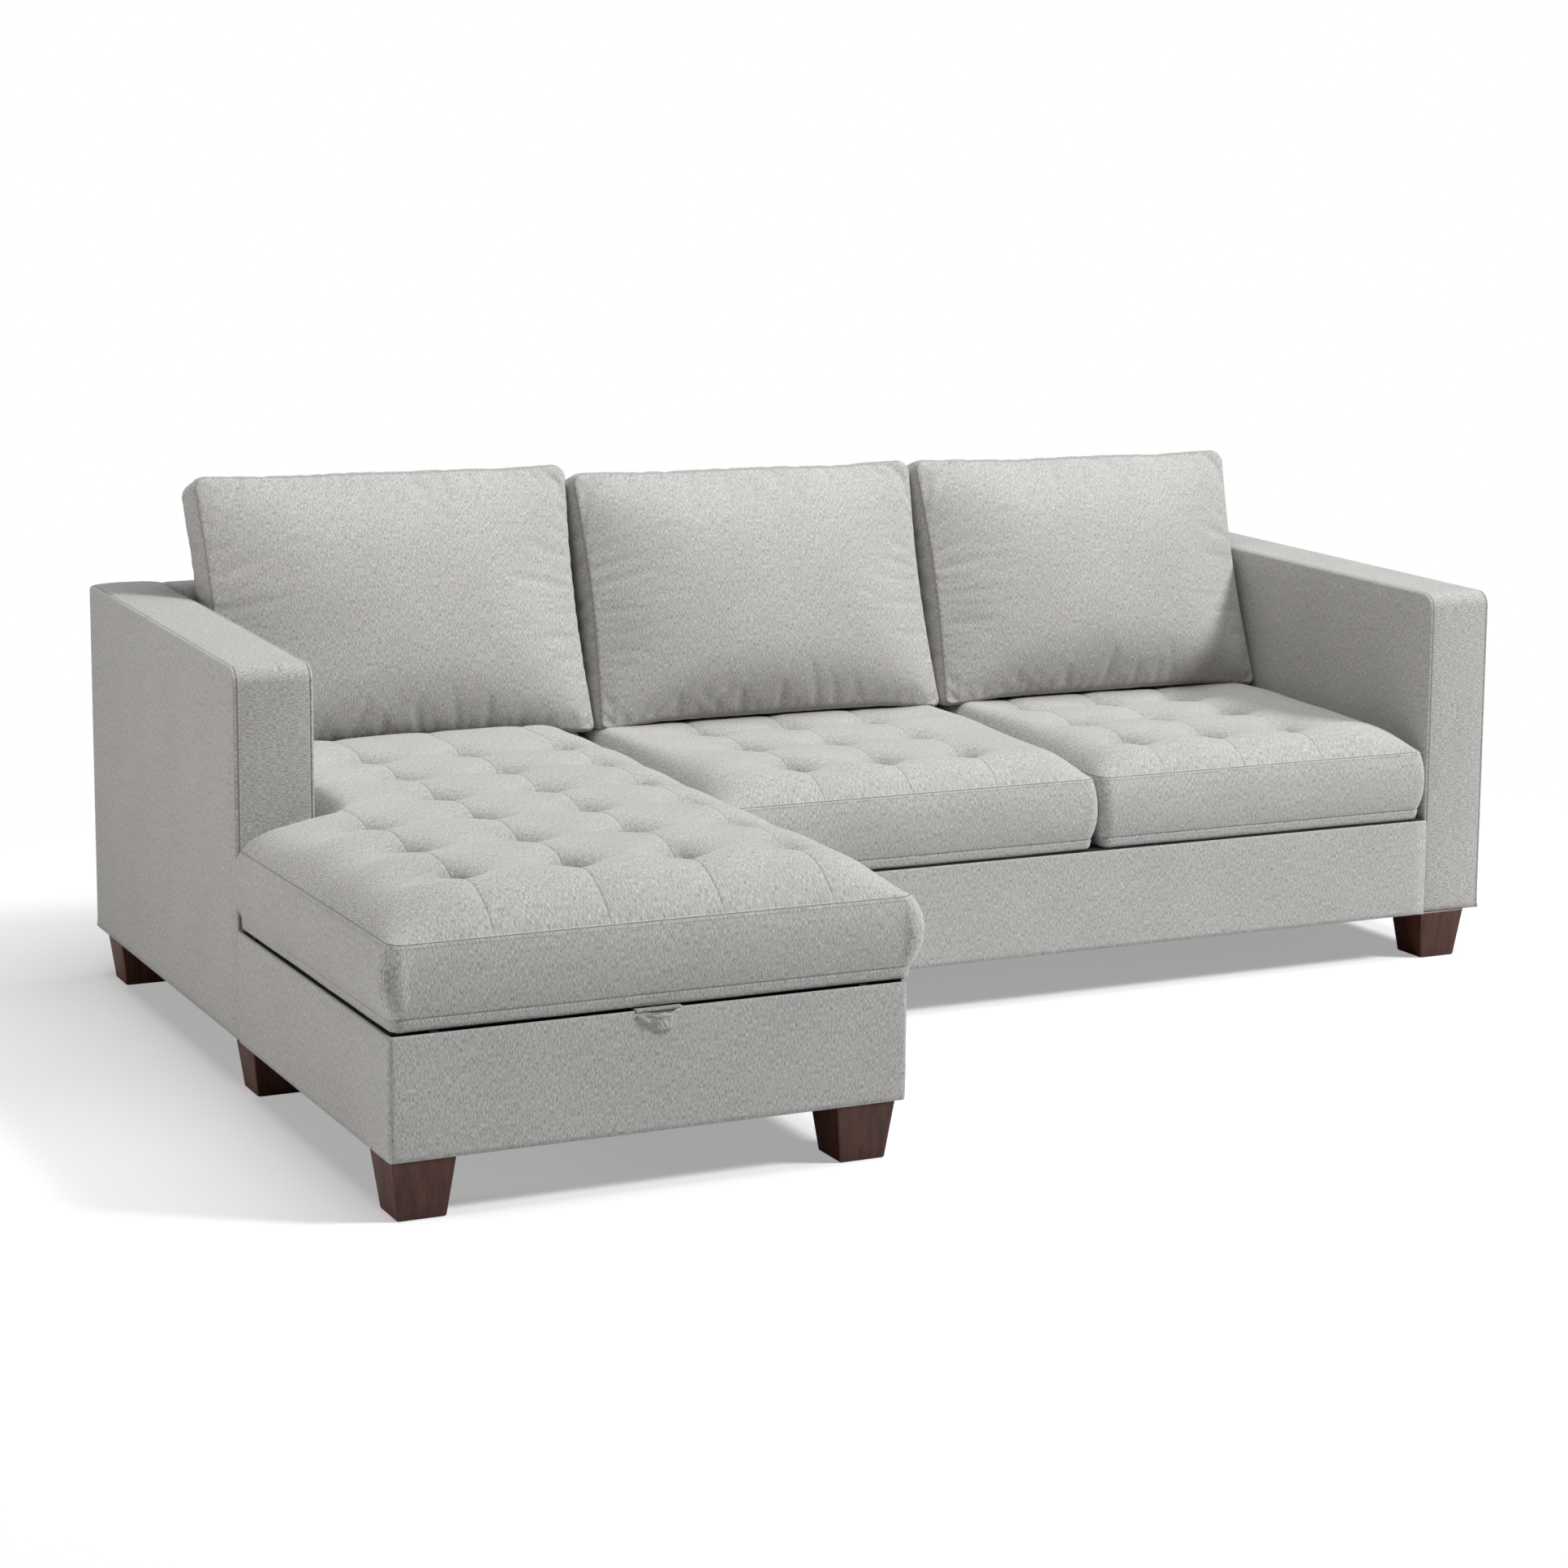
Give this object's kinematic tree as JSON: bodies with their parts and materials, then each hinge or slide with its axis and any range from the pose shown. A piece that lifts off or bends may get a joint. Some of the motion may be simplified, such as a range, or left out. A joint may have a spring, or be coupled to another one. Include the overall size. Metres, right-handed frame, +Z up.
{
  "type": "storage sectional sofa",
  "caption": "Upholstered sectional sofa with a tufted storage chaise whose lid lifts forward on linked hinges with gas struts, loose back cushions and tapered wooden feet.",
  "frame": {"origin": "middle of the floor footprint, at the undersides of the feet", "axes": "+X to the viewer's right along the back, +Y from the chaise's front to the back of the sofa, +Z up"},
  "size_m": [2.3, 1.562, 0.8703],
  "materials": {
    "upholstery_fabric": "heathered light warm grey weave",
    "frame_timber": "raw sawn softwood",
    "plywood": "raw plywood",
    "webbing": "elastic webbing",
    "black_cloth": "thin non-woven cloth",
    "painted_steel": "satin black",
    "bright_steel": "zinc plated",
    "rubber": "matt",
    "dark_wood": "dark espresso stain, satin"
  },
  "bodies": {
    "base": {"arm_left_cover": "upholstery_fabric", "arm_left_frame": "frame_timber", "arm_left_skins": "plywood", "arm_right_cover": "upholstery_fabric", "arm_right_frame": "frame_timber", "arm_right_skins": "plywood", "back_left_cover": "upholstery_fabric", "back_left_frame": "frame_timber", "back_right_cover": "upholstery_fabric", "back_right_frame": "frame_timber", "storage_front_panel": "plywood", "storage_left_panel": "plywood", "storage_return_panel": "plywood", "storage_inner_panel": "plywood", "storage_right_panel": "plywood", "storage_rear_panel": "plywood", "storage_floor": "plywood", "storage_cover": "upholstery_fabric", "ledge_board": "plywood", "ledge_pad": "upholstery_fabric", "seat_front_rail": "frame_timber", "seat_rear_rail": "frame_timber", "seat_cross_rails": "frame_timber", "seat_corner_blocks": "frame_timber", "seat_webbing": "webbing", "seat_deck_cloth": "black_cloth", "front_rail_cover": "upholstery_fabric", "dust_cover_seat": "black_cloth", "dust_cover_chaise": "black_cloth", "connector_sockets": "painted_steel", "connector_tongues": "painted_steel", "seat_cushion_middle": "upholstery_fabric", "seat_cushion_right": "upholstery_fabric", "hinge_base_plates": "painted_steel", "hinge_base_pins": "bright_steel", "guide_base_pins": "bright_steel", "strut_lower_studs": "bright_steel", "lid_bumpers": "rubber", "chaise_feet": "dark_wood", "seat_feet": "dark_wood"},
    "lift_links": {"main_links": "painted_steel", "lid_pivot_pins": "bright_steel"},
    "lid": {"lid_cushion": "upholstery_fabric", "lid_board": "plywood", "lid_lining": "black_cloth", "lid_brackets": "painted_steel", "pull_tab_anchor": "upholstery_fabric"},
    "guide_links": {"guide_links": "painted_steel", "guide_pins": "bright_steel"},
    "gas_cylinders": {"strut_cylinders": "painted_steel"},
    "gas_rods": {"strut_rods": "bright_steel", "strut_upper_studs": "bright_steel"},
    "pull_tab": {"pull_tab": "upholstery_fabric"},
    "back_cushion_left": {"back_cushion_left": "upholstery_fabric"},
    "back_cushion_middle": {"back_cushion_middle": "upholstery_fabric"},
    "back_cushion_right": {"back_cushion_right": "upholstery_fabric"}
  },
  "joints": [
    {"name": "lid_tilt", "type": "hinge", "parent": "lift_links", "child": "lid", "pos_m": [0, 0.364, 0.236], "axis": [-1, 0, 0], "range_deg": [0, 90.52]},
    {"name": "link_lift", "type": "hinge", "parent": "base", "child": "lift_links", "pos_m": [0, 0.21852, 0.13], "axis": [1, 0, 0], "range_deg": [0, 62.03]},
    {"name": "guide_lift", "type": "hinge", "parent": "base", "child": "guide_links", "pos_m": [0, 0.14387, 0.10824], "axis": [1, 0, 0], "range_deg": [0, 56.52]},
    {"name": "strut_turn", "type": "hinge", "parent": "base", "child": "gas_cylinders", "pos_m": [0, 0.416, 0.109], "axis": [1, 0, 0], "range_deg": [0, 0.8577]},
    {"name": "strut_stroke", "type": "slide", "parent": "gas_cylinders", "child": "gas_rods", "axis": [0, -0.9029, 0.4299], "range_m": [0, 0.07724]},
    {"name": "tab_swing", "type": "hinge", "parent": "lid", "child": "pull_tab", "pos_m": [-0.7625, -0.773, 0.2546], "axis": [-1, 0, 0], "range_deg": [0, 95]},
    {"name": "left_back_cushion_lift", "type": "slide", "parent": "base", "child": "back_cushion_left", "axis": [0, 0, 1], "range_m": [0, 0.35]},
    {"name": "middle_back_cushion_lift", "type": "slide", "parent": "base", "child": "back_cushion_middle", "axis": [0, 0, 1], "range_m": [0, 0.35]},
    {"name": "right_back_cushion_lift", "type": "slide", "parent": "base", "child": "back_cushion_right", "axis": [0, 0, 1], "range_m": [0, 0.35]}
  ],
  "couplings": [
    {"joint": "link_lift", "follows": "lid_tilt", "ratio": 0.68493},
    {"joint": "guide_lift", "follows": "lid_tilt", "ratio": 0.6241},
    {"joint": "strut_turn", "follows": "lid_tilt", "ratio": 0.009471},
    {"joint": "strut_stroke", "follows": "lid_tilt", "m_per_rad": 0.048868}
  ]
}
